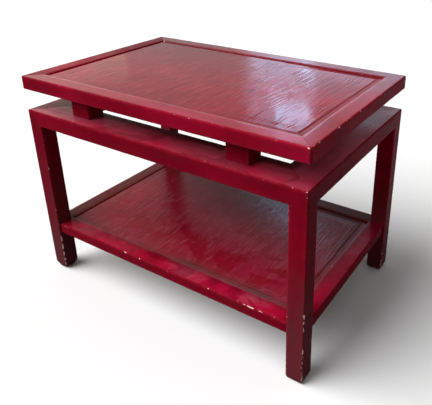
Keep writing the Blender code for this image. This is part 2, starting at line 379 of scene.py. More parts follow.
def rounded_box(name, low, high, radius, material, foot=None, foot_corner=0.0):
    """A box with worn, rounded edges; the rounding of its lower edges can reach higher up."""
    reach = [(radius, radius), (radius, radius), (foot or radius, radius)]
    lines = [box_lines(low[a], high[a], *reach[a], SPACING) for a in range(3)]
    last = [len(line) - 1 for line in lines]
    inner_low = low + Vector(r[0] for r in reach)
    inner_high = high - Vector(r[1] for r in reach)
    index, points, wear = {}, [], []

    def vertex(i, j, k):
        if (i, j, k) not in index:
            p = Vector((lines[0][i], lines[1][j], lines[2][k]))
            q = Vector(min(max(p[a], inner_low[a]), inner_high[a]) for a in range(3))
            scale = [reach[a][int(p[a] > q[a])] for a in range(3)]
            unit = Vector((p[a] - q[a]) / scale[a] for a in range(3)).normalized()
            depths = sorted(min(p[a] - low[a], high[a] - p[a]) for a in range(3))
            rub = worn_by(p) if depths[1] < radius else 0.0
            index[i, j, k] = len(points)
            place = q + Vector(unit[a] * (scale[a] - rub) for a in range(3))
            points.append(rippled(drawn_in(place, low, high, foot, foot_corner) if foot else place))
            wear.append(closeness(depths[1] - radius))
        return index[i, j, k]

    faces = []
    for a in range(3):
        b, c = (a + 1) % 3, (a + 2) % 3
        for end, i, j in product((0, last[a]), range(last[b]), range(last[c])):
            face = []
            for di, dj in ((0, 0), (1, 0), (1, 1), (0, 1)):
                at = [0, 0, 0]
                at[a], at[b], at[c] = end, i + di, j + dj
                face.append(vertex(*at))
            faces.append(face)
    return new_piece(name, points, faces, material, wear=wear)


def round_plan(point, middle, half, radius):
    """Round the upright edges of a frame's outer corners."""
    offset = point - middle
    beyond = [abs(offset[a]) - (half[a] - radius) for a in range(2)]
    if min(beyond) <= 0:
        return point
    pull = max(beyond) / math.hypot(*beyond)
    moved = point.copy()
    for a in range(2):
        moved[a] = middle[a] + math.copysign(half[a] - radius + beyond[a] * pull, offset[a])
    return moved


def corner_darkening(point, spots):
    """Darkening of a frame's upper side round some of its corners."""
    return max((share * math.exp(-(math.dist(point.xy, middle) / radius) ** 2)
                for middle, radius, share in spots), default=0.0)


def mitred_rail(name, low, high, side, section, gap, corner, material, dark_corners):
    """One rail of a frame: a section of (inward, down) points run between two mitres."""
    half = (high - low) / 2
    middle = (high + low) / 2
    inward = -outward(side)
    along = Vector((abs(inward.y), abs(inward.x), 0))
    run, reach = along.dot(half), abs(inward.dot(half))
    start = Vector((middle.x, middle.y, high.z)) - inward * reach - along * run
    length = 2 * run
    points, wear, grime = [], [], []
    stations = box_lines(0, length, corner, corner, RUN_SPACING)
    for station in stations:
        share = station / length
        for place, close, push, darkening in section:
            v, w = place
            s = v + gap + (length - 2 * v - 2 * gap) * share
            ideal = start + along * s + inward * v - UP * w
            if push.length:
                rub = push * worn_by(ideal)
                ideal += inward * rub.x - UP * rub.y
            tip = closeness(min(station, length - station) - corner) if v < ARRIS else 0.0
            points.append(rippled(round_plan(ideal, middle, half, corner)))
            wear.append(max(close, tip))
            # The dark mark holds painted shade from the section, and the darker corners of the top's frame
            grime.append(max(darkening, corner_darkening(ideal, dark_corners)) if w < ARRIS else darkening)
    count = len(section)
    faces = grid_faces(count, len(stations), closed=True)
    faces += [list(range(count)), list(range(len(points) - count, len(points)))]
    return new_piece(name, points, faces, material, wear=wear, grime=grime)


def slice_off(piece, point, toward):
    """Take away what lies past a plane, and close the cut."""
    shape = bmesh.new()
    shape.from_mesh(piece.data)
    everything = shape.verts[:] + shape.edges[:] + shape.faces[:]
    result = bmesh.ops.bisect_plane(shape, geom=everything, plane_co=point, plane_no=toward,
                                    clear_outer=True, dist=TOLERANCE)
    rim = [e for e in result["geom_cut"] if isinstance(e, bmesh.types.BMEdge)]
    bmesh.ops.contextual_create(shape, geom=rim)
    shape.to_mesh(piece.data)
    shape.free()


def box_tool(name, low, high, material):
    """A plain box to cut with."""
    shape = bmesh.new()
    bmesh.ops.create_cube(shape, size=1.0)
    bmesh.ops.scale(shape, vec=high - low, verts=shape.verts)
    bmesh.ops.translate(shape, vec=(high + low) / 2, verts=shape.verts)
    return new_object(name, shape, material)


def carve(piece, tools):
    """Cut tools out of a piece; the cut faces keep the tools' material."""
    for tool in tools:
        step = piece.modifiers.new("cut", "BOOLEAN")
        step.operation = "DIFFERENCE"
        step.object = tool
        step.material_mode = "TRANSFER"
    bpy.context.view_layer.update()
    seen = piece.evaluated_get(bpy.context.evaluated_depsgraph_get())
    mesh = bpy.data.meshes.new_from_object(seen)
    piece.modifiers.clear()
    piece.data = mesh
    for tool in tools:
        bpy.data.objects.remove(tool)


def polish_and_light(piece, material, low, high):
    """Give the upper faces of a rail their own finish, whose tone is painted light and shade, except along
    the frame's outer edge.
    """
    piece.data.materials.append(material)
    index = len(piece.data.materials) - 1
    half = (high - low) / 2
    for face in piece.data.polygons:
        inset = min(half.x - abs(face.center.x), half.y - abs(face.center.y))
        if face.normal.z > POLISHED_SLOPE and inset > RUBBED_EDGE:
            face.material_index = index


def dress(piece, slot, *nodes):
    """Smooth a piece and let it stand for its solids."""
    piece.data.shade_smooth()
    piece.data.set_sharp_from_angle(angle=SHARP_ANGLE)
    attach(piece, "root")
    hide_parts(*nodes)


# Places of the frames and legs

def frame_span(name):
    """Lowest and highest corner of a frame of four rails."""
    boxes = [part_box(name + "_rail_" + side) for side in (*SIDES, *ENDS)]
    low = Vector(min(b[0][a] for b in boxes) for a in range(3))
    high = Vector(max(b[1][a] for b in boxes) for a in range(3))
    return low, high


def frame_corner(name, where):
    """Upper tip of a frame's corner."""
    low, high = frame_span(name)
    side, end = where.split("_")
    return Vector((high.x if end == "right" else low.x, high.y if side == "back" else low.y, high.z))


def rail_width(name):
    low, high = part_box(name + "_rail_front")
    return high.y - low.y


def sight_inset(name):
    """How far inside a frame's outline the edge round its panel lies."""
    return frame_span(name)[1].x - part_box(name + "_panel")[1].x + TONGUE


def leg_columns():
    """Boxes of the legs' outer size, from the floor to the top of the base."""
    top = frame_span("base")[1].z
    boxes = {where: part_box("leg_" + where) for where in CORNERS}
    return {where: (low, Vector((high.x, high.y, top))) for where, (low, high) in boxes.items()}


# Chips

def corner_loss(first, second):
    """How far a rounding stands back from the sharp corner, along the diagonal."""
    a, b = 1 / first, 1 / second
    return math.sqrt(2) * (a + b - math.sqrt(2 * a * b)) / (a * a + b * b)


def chip_blob(shape, edge, distance, length, depth):
    """Add a rough pebble to a shape, where it bites an edge at a distance from its start."""
    start, end, lean, loss = edge
    along, out = (end - start).normalized(), lean.normalized()
    across = along.cross(out)
    radius = CHIP_RADIUS + CHIP_SPREAD * depth
    centre = start + along * distance + out * (radius - loss - depth)
    made = bmesh.ops.create_icosphere(shape, subdivisions=2, radius=1.0)
    for corner in made["verts"]:
        p = corner.co * dice.uniform(1 - CHIP_JITTER, 1 + CHIP_JITTER)
        corner.co = centre + along * (p.x * length / 2) + out * (p.y * radius) + across * (p.z * radius)


def random_chips(low, high, kind, taken):
    """Chips at random places along an edge, clear of those already there."""
    found = []
    for _ in range(round((high - low) * CHIPS_PER_METRE[kind])):
        distance = dice.uniform(low + CHIP_CLEARANCE, high - CHIP_CLEARANCE)
        chip = (distance, dice.uniform(*CHIP_LENGTHS), dice.uniform(*CHIP_DEPTHS))
        if all(abs(distance - other[0]) > CHIP_CLEARANCE + other[1] / 2 for other in taken + found):
            found.append(chip)
    return found


def edge_chips(node, name, length):
    """Chips of one edge: those seen in the photograph, or random ones."""
    if (node, name) in SEEN_CHIPS:
        return SEEN_CHIPS[node, name]
    if name in CLEAN_EDGES.get(node, ()):
        return ()
    if node.startswith("leg"):
        low = random_chips(0, LOW_LEG, "low leg", [])
        return low + random_chips(LOW_LEG, length, "high leg", low)
    return random_chips(0, length, name, [])


def rail_edges(name, side):
    """Outer edges of a rail and the edge round the panel: start, end, lean and loss by rounding."""
    low, high = frame_span(name)
    out = outward(side)
    across = 1 if side in SIDES else 0

    def line(inset, z, lean, loss):
        first = Vector((low.x + inset, low.y + inset, z))
        last = Vector((high.x - inset, high.y - inset, z))
        first[across] = last[across] = (last if out[across] > 0 else first)[across]
        return first, last, lean, loss

    loss = corner_loss(ARRIS, ARRIS)
    edges = {"top": line(0, high.z, out + UP, loss), "bottom": line(0, low.z, out - UP, loss)}
    if name != "base":
        sight_loss = corner_loss(SIGHT_EASE, SIGHT_DROP)
        edges["sight"] = line(sight_inset(name), high.z, UP - out, sight_loss)
    return edges


def leg_edges(where):
    """The upright edges of a leg, as for a rail."""
    low, high = leg_columns()[where]
    loss = corner_loss(ARRIS, ARRIS)
    edges = {}
    for side, y in (("front", low.y), ("back", high.y)):
        for end, x in (("left", low.x), ("right", high.x)):
            lean = outward(side) + LEG_CHIP_LEAN * outward(end)
            edges[side + " " + end] = (Vector((x, y, 0)), Vector((x, y, high.z)), lean, loss)
    return edges


def chip_tools(node, edges):
    """One cutter for all chips of a piece, or none."""
    shape = bmesh.new()
    for name, edge in edges.items():
        for chip in edge_chips(node, name, (edge[1] - edge[0]).length):
            chip_blob(shape, edge, *chip)
    if not shape.verts:
        shape.free()
        return []
    return [new_object("chips_" + node, shape, CHIP)]


# Materials

# Sockets of a Mix node for colours
MIX_SHARE, MIX_FIRST, MIX_SECOND, MIX_RESULT = 0, 6, 7, 2


class Nodes:
    """The node tree of a material or world, whose nodes are added one by one."""

    def __init__(self, owner):
        owner.use_nodes = True
        self.tree = owner.node_tree

    def node(self, kind, **inputs):
        return self.fill(self.tree.nodes.new(kind), **inputs)

    def fill(self, node, **inputs):
        for name, value in inputs.items():
            self.feed(node.inputs[name.replace("_", " ")], value)
        return node

    def feed(self, socket, value):
        if isinstance(value, bpy.types.NodeSocket):
            self.tree.links.new(value, socket)
        else:
            socket.default_value = value

    def math(self, operation, first, second=0.0):
        made = self.tree.nodes.new("ShaderNodeMath")
        made.operation = operation
        self.feed(made.inputs[0], first)
        self.feed(made.inputs[1], second)
        return made.outputs[0]

    def times(self, first, second):
        return self.math("MULTIPLY", first, second)

    def mix(self, share, first, second):
        made = self.tree.nodes.new("ShaderNodeMix")
        made.data_type = "RGBA"
        self.feed(made.inputs[MIX_SHARE], share)
        self.feed(made.inputs[MIX_FIRST], first)
        self.feed(made.inputs[MIX_SECOND], second)
        return made.outputs[MIX_RESULT]

    def seen_directly(self):
        """1 for rays from the camera, in mirrors and through glass."""
        rays = self.node("ShaderNodeLightPath").outputs
        seen = self.math("MAXIMUM", rays["Is Camera Ray"], rays["Is Glossy Ray"])
        return self.math("MAXIMUM", seen, rays["Is Transmission Ray"])


class Paint(Nodes):
    """A material for a worn surface."""

    def __init__(self, name):
        self.material = bpy.data.materials.new(name)
        super().__init__(self.material)
        self.place = self.node("ShaderNodeTexCoord").outputs["Object"]

    def attribute(self, name):
        made = self.node("ShaderNodeAttribute")
        made.attribute_name = name
        return made.outputs["Fac"]

    def along(self, axis):
        """Place along one axis."""
        return self.node("ShaderNodeSeparateXYZ", Vector=self.place).outputs[axis]

    def noise(self, scale, detail=3.0, rough=0.55, warp=0.0, stretch=(1, 1, 1)):
        place = self.node("ShaderNodeMapping", Vector=self.place, Scale=stretch).outputs["Vector"]
        return self.node("ShaderNodeTexNoise", Vector=place, Scale=scale, Detail=detail, Roughness=rough,
                         Distortion=warp).outputs["Fac"]

    def spread(self, value, band, result=(0.0, 1.0)):
        """A value's way through a band, turned smoothly into another range."""
        made = self.node("ShaderNodeMapRange", Value=value)
        made.interpolation_type = "SMOOTHSTEP"
        for name, number in zip(("From Min", "From Max", "To Min", "To Max"), (*band, *result)):
            made.inputs[name].default_value = number
        return made.outputs[0]

    def cover(self, colour, over, value, band, shares):
        """Lay a colour over another, by a share that follows a value."""
        return self.mix(self.spread(value, band, shares), colour, over)

    def ramp(self, value, *stops):
        made = self.node("ShaderNodeValToRGB", Fac=value)
        elements = made.color_ramp.elements
        elements.remove(elements[1])
        elements[0].position, elements[0].color = stops[0]
        for position, colour in stops[1:]:
            elements.new(position).color = colour
        return made.outputs["Color"]

    def coat(self, colour, rough, gloss, height, strength, depth):
        """The finished material, with a bump by height."""
        bumped = self.node("ShaderNodeBump", Height=height, Strength=strength, Distance=depth)
        self.fill(self.tree.nodes["Principled BSDF"], Base_Color=colour, Roughness=rough,
                  Specular_IOR_Level=gloss, Normal=bumped.outputs["Normal"])
        return self.material


# Colours of the lacquer, of its dirt and dust, of painted shade, light and sheen, of the ground under it,
# and of bare wood
EARTH = (0.095, 0.03, 0.025, 1)
DEEP = (0.165, 0.0016, 0.011, 1)
MIDDLE = (0.225, 0.0022, 0.015, 1)
CRIMSON = (0.285, 0.0028, 0.018, 1)
BRIGHT = (0.41, 0.005, 0.036, 1)
# Rubbed lacquer, also a painted highlight along the edges
RUBBED_AND_HIGHLIGHT = (0.45, 0.025, 0.05, 1)
BROWN = (0.12, 0.01, 0.012, 1)
# Grime, also the colour of painted shade
GRIME_AND_SHADE = (0.075, 0.004, 0.006, 1)
SCUFF = (0.105, 0.034, 0.04, 1)
# Dust, also a painted sheen on the base's tops and on the shelf
DUST_AND_SHEEN = (0.4, 0.06, 0.1, 1)
# Pink dust, also painted light on the shaded right rail of the base
DUST_LIGHT_ROSE = (0.85, 0.16, 0.215, 1)
# Mauve dust, also a painted sheen on the shelf's panel
MAUVE_DUST_AND_SHEEN = (0.34, 0.014, 0.042, 1)
STROKE_HIGHLIGHT_PINK = (0.5, 0.11, 0.12, 1)
GROUND = (0.75, 0.43, 0.36, 1)
GROUND_PALE = (0.92, 0.72, 0.64, 1)
WOOD_DARK = (0.3, 0.17, 0.08, 1)
WOOD_MIDDLE = (0.46, 0.29, 0.15, 1)
WOOD_PALE = (0.56, 0.38, 0.21, 1)
WOOD_FIBRE = (0.25, 0.14, 0.07, 1)

# Tones of the lacquer, from dark to light
VIVID = ((0.25, CRIMSON), (0.6, BRIGHT))
RED = ((0.25, DEEP), (0.48, CRIMSON), (0.8, BRIGHT))
EVEN = ((0.3, MIDDLE), (0.5, CRIMSON), (0.75, BRIGHT))
DARK = ((0.3, DEEP), (0.7, CRIMSON))
DULL = ((0.35, EARTH), (0.75, BROWN))
SOMBRE = ((0.3, DEEP), (0.7, MIDDLE))
# Dusty tones, also a painted sheen
DUST_AND_SHEEN_TONE = ((0.35, BRIGHT), (0.6, DUST_AND_SHEEN))
MAUVE_DUST_AND_SHEEN_TONE = ((0.25, CRIMSON), (0.55, MAUVE_DUST_AND_SHEEN))
PATCHY = ((0.28, DEEP), (0.45, CRIMSON), (0.57, BRIGHT), (0.7, DUST_AND_SHEEN))

# Roughness of the lacquer from smooth to dull places, and the gloss of the frames' sides
SATIN_SHEEN = (0.22, 0.38)
POLISHED_SHEEN = (0.1, 0.18)
TOP_SHEEN = (0.14, 0.24)
DUSTY_SHEEN = (0.3, 0.45)
SATIN_GLOSS = 0.005

# Frames, or single rails: tones of the sides and of the top, and the top's gloss and roughness
# The tops' tones, mostly lighter than the sides', and the single rails' own tones are painted light and
# shade
FINISHES = {
    "top": (RED, VIVID, 0.105, TOP_SHEEN),
    "top_right": (RED, EVEN, 0.085, TOP_SHEEN),
    "top_left": (RED, RED, 0.018, SATIN_SHEEN),
    "top_back": (RED, DARK, 0.085, TOP_SHEEN),
    "base": (DARK, DUST_AND_SHEEN_TONE, 0.16, DUSTY_SHEEN),
    "base_right": (DARK, DUST_AND_SHEEN_TONE, 0.24, DUSTY_SHEEN),
    "base_left": (DARK, DULL, 0.05, SATIN_SHEEN),
    "shelf": (SOMBRE, PATCHY, 0.04, POLISHED_SHEEN),
    "shelf_right": (DARK, PATCHY, 0.05, SATIN_SHEEN),
    "shelf_left": (DULL, DULL, 0.03, SATIN_SHEEN),
    "shelf_back": (DULL, DULL, 0.03, SATIN_SHEEN),
}
LAPPED_FINISHES = ("base", "shelf")
DUST_LIGHT_FINISHES = ("base_right",)
# Each leg's own tone is painted light and shade: darker at the front left, lighter at the back right
LEG_TONES = {"front_left": SOMBRE, "front_right": DARK, "back_left": DARK, "back_right": RED}

# Panels: grain is the strength of the fibres; the border's darkening, the strokes of painted highlight and
# shade, and the blotches are shares
PANEL_FINISHES = {
    "top": dict(tone=EVEN, gloss=0.06, sheen=(0.05, 0.08), grain=0.02, border_darkening=0.15, stroke_light_and_shade=0.16,
                blotches=0.0),
    "shelf": dict(tone=MAUVE_DUST_AND_SHEEN_TONE, gloss=0.07, sheen=(0.07, 0.12), grain=0.5, border_darkening=0.85, stroke_light_and_shade=0.22,
                  blotches=0.8),
}

# Pink dust on the right rail of the base, which also paints light on the part that the top shades: where it
# grows and thins along Y, and its shares
DUST_LIGHT_GROWS = (-0.205, -0.11)
DUST_LIGHT_THINS = (0.06, 0.18)
DUST_LIGHT_SHARE = 0.85
DUST_LIGHT_LEFT = 0.2
DUST_LIGHT_UNEVEN = ((0.35, 0.6), (0.6, 1.0))

# What lies over the lacquer: a band of the noise, and the shares at both ends of the band
STREAKS = ((0.45, 0.8), (0.0, 0.55))
LAPS = ((0.49, 0.51), (0.0, 0.5))
LAP_RIMS = ((0.0, 0.016), (0.35, 0.0))
RUBBING_AND_HIGHLIGHT = ((0.35, 0.7), (0.05, 0.3))
FLECK_EDGE = (0.75, 1.0)
FLECK_BAND = (0.67, 0.72)
GRIME_AND_SHADE_SHARE = 0.85

# Stretch of the noise along brush streaks and along bare wood
STREAK_STRETCH = {"x": (0.12, 1, 1), "y": (1, 0.12, 1), "z": (1, 1, 0.12)}
WOOD_STRETCH = (0.06, 1, 1)

# Legs are scuffed and bared near the floor, up to a ragged limit
SCUFFS = ((0.0, 0.36), (0.7, 0.0))
SCUFF_RAGGED = ((0.3, 0.7), (-0.06, 0.06))
BARING = ((0.0, 0.13), (0.13, 0.0))

# What lies over the panels, in the same form
FIBRE_BROWN = ((0.48, 0.72), (0.0, 0.55))
# Bright ridges of the fibres are a painted highlight
FIBRE_HIGHLIGHT = ((0.25, 0.45), (0.35, 0.0))
# Pale and dark strokes along the waves of the grain: painted highlight and shade
STROKE_HIGHLIGHT_BAND = (0.5, 0.64)
STROKE_SHADE_BAND = (0.34, 0.46)
BLOTCH_BAND = (0.5, 0.58)
RELIEF_GRIME = ((0.0, 0.8), (0.8, 0.0))
BORDER_UNEVEN = ((0.3, 0.7), (0.5, 1.0))

# Roughness follows a band of the noise; streaks and fibres add to it
SHEEN_BAND = (0.3, 0.7)
STREAK_SHEEN = ((0.3, 0.8), (-0.04, 0.08))
FIBRE_SHEEN = ((0.3, 0.8), (-0.02, 0.05))


def brush_laps(paint, colour):
    """Laps of the brush: darker patches with a bright rim."""
    lap = paint.noise(11.0, warp=0.8)
    colour = paint.cover(colour, DEEP, lap, *LAPS)
    from_rim = paint.math("ABSOLUTE", paint.math("SUBTRACT", lap, 0.5))
    return paint.cover(colour, BRIGHT, from_rim, *LAP_RIMS)


def dust_and_painted_light(paint, colour):
    """Pink dust that comes and goes along Y, and paints light on the shaded part under the top."""
    y = paint.along("Y")
    uneven = paint.spread(paint.noise(13.0, detail=4.0, rough=0.6, warp=0.8), *DUST_LIGHT_UNEVEN)
    share = paint.times(paint.spread(y, DUST_LIGHT_GROWS, (0.0, DUST_LIGHT_SHARE)), uneven)
    share = paint.times(share, paint.spread(y, DUST_LIGHT_THINS, (1.0, DUST_LIGHT_LEFT)))
    return paint.mix(share, colour, DUST_LIGHT_ROSE)


def rubbed_and_highlit_edges(paint, colour, edge):
    """Paler lacquer along the edges: rubbed wear, and a painted highlight on the arrises."""
    rubbed = paint.spread(paint.noise(90.0, detail=4.0, rough=0.7), *RUBBING_AND_HIGHLIGHT)
    return paint.mix(paint.times(edge, rubbed), colour, RUBBED_AND_HIGHLIGHT)


def low_scuffs(paint, colour):
    """Scuffs that thin out upwards from the floor."""
    level = paint.math("ADD", paint.along("Z"), paint.spread(paint.noise(9.0), *SCUFF_RAGGED))
    return paint.cover(colour, SCUFF, level, *SCUFFS)


def lacquer(name, axis, gloss, tone, sheen=SATIN_SHEEN, lapped=False, scuffed=False, dust_and_light=False):
    """Old red lacquer, with brush streaks along an axis, pale edges of wear and painted highlight, and dark
    grime and painted shade.
    """
    paint = Paint(name)
    streak = paint.noise(70.0, detail=5.0, rough=0.6, stretch=STREAK_STRETCH[axis])
    edge = paint.attribute("wear")
    fleck = paint.noise(190.0, rough=0.7)
    colour = paint.ramp(paint.noise(6.0, detail=4.0, rough=0.6, warp=0.3), *tone)
    colour = paint.cover(colour, BROWN, streak, *STREAKS)
    if lapped:
        colour = brush_laps(paint, colour)
    if dust_and_light:
        colour = dust_and_painted_light(paint, colour)
    colour = rubbed_and_highlit_edges(paint, colour, edge)
    if scuffed:
        colour = low_scuffs(paint, colour)
        fleck = paint.math("ADD", fleck, paint.spread(paint.along("Z"), *BARING))
    flecked = paint.times(paint.spread(edge, FLECK_EDGE), paint.spread(fleck, FLECK_BAND))
    colour = paint.mix(flecked, colour, GROUND)
    # The grime mark also holds painted shade: the recess walls and the band under the top
    colour = paint.mix(paint.times(paint.attribute("grime"), GRIME_AND_SHADE_SHARE), colour, GRIME_AND_SHADE)
    sheen = paint.spread(paint.noise(16.0, detail=4.0, rough=0.65), SHEEN_BAND, sheen)
    rough = paint.math("ADD", sheen, paint.spread(streak, *STREAK_SHEEN))
    specks = paint.times(paint.noise(420.0, detail=2.0), 0.12)
    height = paint.math("ADD", paint.times(streak, 0.7), specks)
    return paint.coat(colour, rough, gloss, height, strength=0.25, depth=0.0006)


def panel_lacquer(name, tone, gloss, sheen, grain, border_darkening, stroke_light_and_shade, blotches):
    """Lacquer over open grain that runs front to back, soiled along its border."""
    paint = Paint(name)
    fibre = paint.noise(170.0, detail=4.0, rough=0.65, stretch=(1, 0.08, 1))
    pore = paint.noise(480.0, detail=2.0, rough=0.6, stretch=(1, 0.06, 1))
    stroke = paint.noise(95.0, rough=0.6, warp=1.0, stretch=(1, 0.17, 1))
    blotch = paint.noise(13.0, rough=0.5, warp=1.2)
    colour = paint.ramp(paint.noise(5.0, detail=4.0, rough=0.6, warp=0.4), *tone)
    colour = paint.cover(colour, BROWN, fibre, *FIBRE_BROWN)
    colour = paint.cover(colour, BRIGHT, fibre, *FIBRE_HIGHLIGHT)
    colour = paint.cover(colour, STROKE_HIGHLIGHT_PINK, stroke, STROKE_HIGHLIGHT_BAND, (0.0, stroke_light_and_shade))
    colour = paint.cover(colour, GRIME_AND_SHADE, stroke, STROKE_SHADE_BAND, (stroke_light_and_shade, 0.0))
    colour = paint.cover(colour, CRIMSON, blotch, BLOTCH_BAND, (0.0, blotches))
    colour = paint.cover(colour, GRIME_AND_SHADE, paint.attribute("relief"), *RELIEF_GRIME)
    border = paint.times(paint.attribute("border"), paint.spread(paint.noise(14.0), *BORDER_UNEVEN))
    colour = paint.mix(paint.times(border, border_darkening), colour, EARTH)
    # Darker towards the back of the panel: painted shade
    colour = paint.mix(paint.attribute("gloom"), colour, GRIME_AND_SHADE)
    sheen = paint.spread(paint.noise(12.0, detail=4.0, rough=0.65), SHEEN_BAND, sheen)
    rough = paint.math("ADD", sheen, paint.spread(fibre, *FIBRE_SHEEN))
    height = paint.math("ADD", fibre, paint.times(pore, 0.5))
    return paint.coat(colour, rough, gloss, height, strength=grain, depth=0.0009)


def chip_ground(name):
    """The pale ground under the lacquer, bared by chips."""
    paint = Paint(name)
    colour = paint.ramp(paint.noise(300.0, detail=4.0, rough=0.7), (0.35, GROUND), (0.65, GROUND_PALE))
    return paint.coat(colour, rough=0.8, gloss=0.1, height=paint.noise(900.0), strength=0.4, depth=0.0004)


def bare_wood(name):
    """Plain sawn softwood on the pieces that are hidden in use."""
    paint = Paint(name)
    ring = paint.noise(70.0, detail=4.0, rough=0.6, warp=0.6, stretch=WOOD_STRETCH)
    fibre = paint.noise(420.0, rough=0.7, stretch=WOOD_STRETCH)
    colour = paint.ramp(ring, (0.3, WOOD_DARK), (0.5, WOOD_MIDDLE), (0.7, WOOD_PALE))
    colour = paint.cover(colour, WOOD_FIBRE, fibre, (0.5, 0.75), (0.0, 0.5))
    rough = paint.spread(fibre, SHEEN_BAND, (0.6, 0.8))
    return paint.coat(colour, rough, gloss=0.2, height=fibre, strength=0.4, depth=0.0006)


SATIN = {(name, axis): lacquer(name + "_lacquer_" + axis, axis, SATIN_GLOSS, tone)
         for name, (tone, *_) in FINISHES.items() for axis in "xy"}
POLISHED_AND_LIT = {(name, axis): lacquer(name + "_lit_polish_" + axis, axis, gloss, tone, sheen,
                                  lapped=name in LAPPED_FINISHES, dust_and_light=name in DUST_LIGHT_FINISHES)
            for name, (_, tone, gloss, sheen) in FINISHES.items() for axis in "xy"}
LEG = {where: lacquer(where + "_leg_lacquer", "z", SATIN_GLOSS, tone, scuffed=True)
       for where, tone in LEG_TONES.items()}
GRAINED = {name: panel_lacquer(name + "_grain_lacquer", **finish) for name, finish in PANEL_FINISHES.items()}
CHIP = chip_ground("chip_ground")
WOOD = bare_wood("bare_wood")


# Frames

def rail_finish(name, side):
    """Finish of a rail, which may be its own tone of painted light and shade, and the axis of its streaks.
    """
    own = name + "_" + side
    finish = own if own in FINISHES else name
    return finish, "x" if side in SIDES else "y"


def frame_rails(name, section, gap, corner):
    """The four rails of a frame, with the finish of its top, a tone of painted light, on their upper faces.
    """
    low, high = frame_span(name)
    dark_corners = [(frame_corner(name, where).xy, *spot) for where, spot in DARKER_CORNERS.get(name, {}).items()]
    rails = {}
    for side in (*SIDES, *ENDS):
        finish = rail_finish(name, side)
        rails[side] = mitred_rail("worn_" + name + "_rail_" + side, low, high, side, section, gap, corner,
                                  SATIN[finish], dark_corners)
        polish_and_light(rails[side], POLISHED_AND_LIT[finish], low, high)
    return rails


def groove_section(name):
    """Section of a rail that holds a panel in a groove, with painted shade down the wall above the panel and
    darkening beside it.
    """
    low, high = frame_span(name)
    panel_low, panel_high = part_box(name + "_panel")
    width = rail_width(name)
    sight = sight_inset(name)
    back = sight - TONGUE - JOINT_GAP
    lip = high.z - panel_high.z + FIELD_RISE - JOINT_GAP
    ledge = high.z - panel_low.z + JOINT_GAP
    bottom = high.z - low.z
    corners = [(0, 0, ARRIS, ARRIS), (sight, 0, SIGHT_EASE, SIGHT_DROP), (sight, lip, 0, 0),
               (back, lip, 0, 0), (back, ledge, 0, 0), (width, ledge, 0, 0), (width, bottom, ARRIS, ARRIS),
               (0, bottom, ARRIS, ARRIS)]
    section = []
    for place, close, push in outline(corners):
        on_wall = place.x > sight - SIGHT_EASE and place.y <= lip + TOLERANCE
        # The wall darkens down into the recess: painted shade
        wall = smooth_step(place.y / lip) if on_wall else 0.0
        beside = smooth_step((place.x - sight + SIGHT_EASE + INNER_REACH) / INNER_REACH)
        flat = INNER_DARKENING[name] * beside if place.y < ledge and place.x < sight else 0.0
        section.append((place, close, push, max(flat, wall)))
    return section


def plain_section(name):
    """Section of a rail without a groove, with painted shade along its inner edge under the top."""
    low, high = frame_span(name)
    width = rail_width(name)
    bottom = high.z - low.z
    corners = [(0, 0), (width, 0), (width, bottom), (0, bottom)]
    section = []
    for place, close, push in outline([(*corner, ARRIS, ARRIS) for corner in corners]):
        # The dark band along the inner edge is painted shade of the top
        under_top_shade = smooth_step((place.x - width + UNDER_TOP_SHADE_BAND) / UNDER_TOP_SHADE_FADE) if place.y < ARRIS else 0.0
        section.append((place, close, push, under_top_shade))
    return section


def leg_tools(side, material):
    """Cutters a hair larger than the two legs that a shelf rail is notched round."""
    hair = Vector((JOINT_GAP, JOINT_GAP, 0))
    return [box_tool("notch_" + where, low - hair, high + hair, material)
            for where, (low, high) in leg_columns().items() if side in where.split("_")]


def base_and_legs():
    """Base rails and legs, which meet in three-way mitres with no line between them."""
    rails = frame_rails("base", plain_section("base"), 0.0, ARRIS)
    low, high = frame_span("base")
    drop = high.z - low.z
    legs = {}
    for where, (leg_low, leg_high) in leg_columns().items():
        side, end = where.split("_")
        foot = ROUND_FOOT.get(where, (FOOT_ROUNDING, 0.0))
        leg = rounded_box("worn_leg_" + where, leg_low, leg_high, ARRIS, LEG[where], *foot)
        tip = frame_corner("base", where)
        width = leg_high.x - leg_low.x
        for rail, other in ((side, end), (end, side)):
            slope = UP / drop - outward(other) / width
            slice_off(leg, tip, slope)
            slice_off(rails[rail], tip, -slope)
        legs[where] = leg
    return rails, legs


# Panels

def flat_noise(x, y, scale, layer):
    """Noise over a panel, with its own scale along X and Y."""
    return noise.noise(Vector((x * scale[0], y * scale[1], layer)))


def grain_line(x, y, seed, lines):
    """Depth of the open grain from 0 to 1: broken, wavy lines from front to back."""
    short_wave = SHORT_WAVE * (1 - WAVE_LOSS * smooth_step((x - WAVE_FADE_START) / WAVE_FADE))
    bend = LONG_WAVE * flat_noise(x, y, LONG_WAVE_SCALE, seed)
    bend += short_wave * flat_noise(x, y, SHORT_WAVE_SCALE, seed)
    patch = PATCH_MEAN + PATCH_SWING * flat_noise(x, y, PATCH_SCALE, seed + PATCH_LAYER)
    depth = 0.0
    for pitch, share, breaks, strength in lines:
        place = (x + bend) / pitch
        lane = math.floor(place)
        centre = lane + 0.5 + WANDER * flat_noise(lane, y, WANDER_SCALE, seed)
        line = math.exp(-((place - centre) / share) ** 2)
        broken = flat_noise(lane, y, (BREAK_HOP, breaks), seed + BREAK_LAYER)
        depth = max(depth, strength * line * smooth_step(BREAK_MEAN + BREAK_SWING * broken))
    return depth * min(1.0, max(0.0, patch))


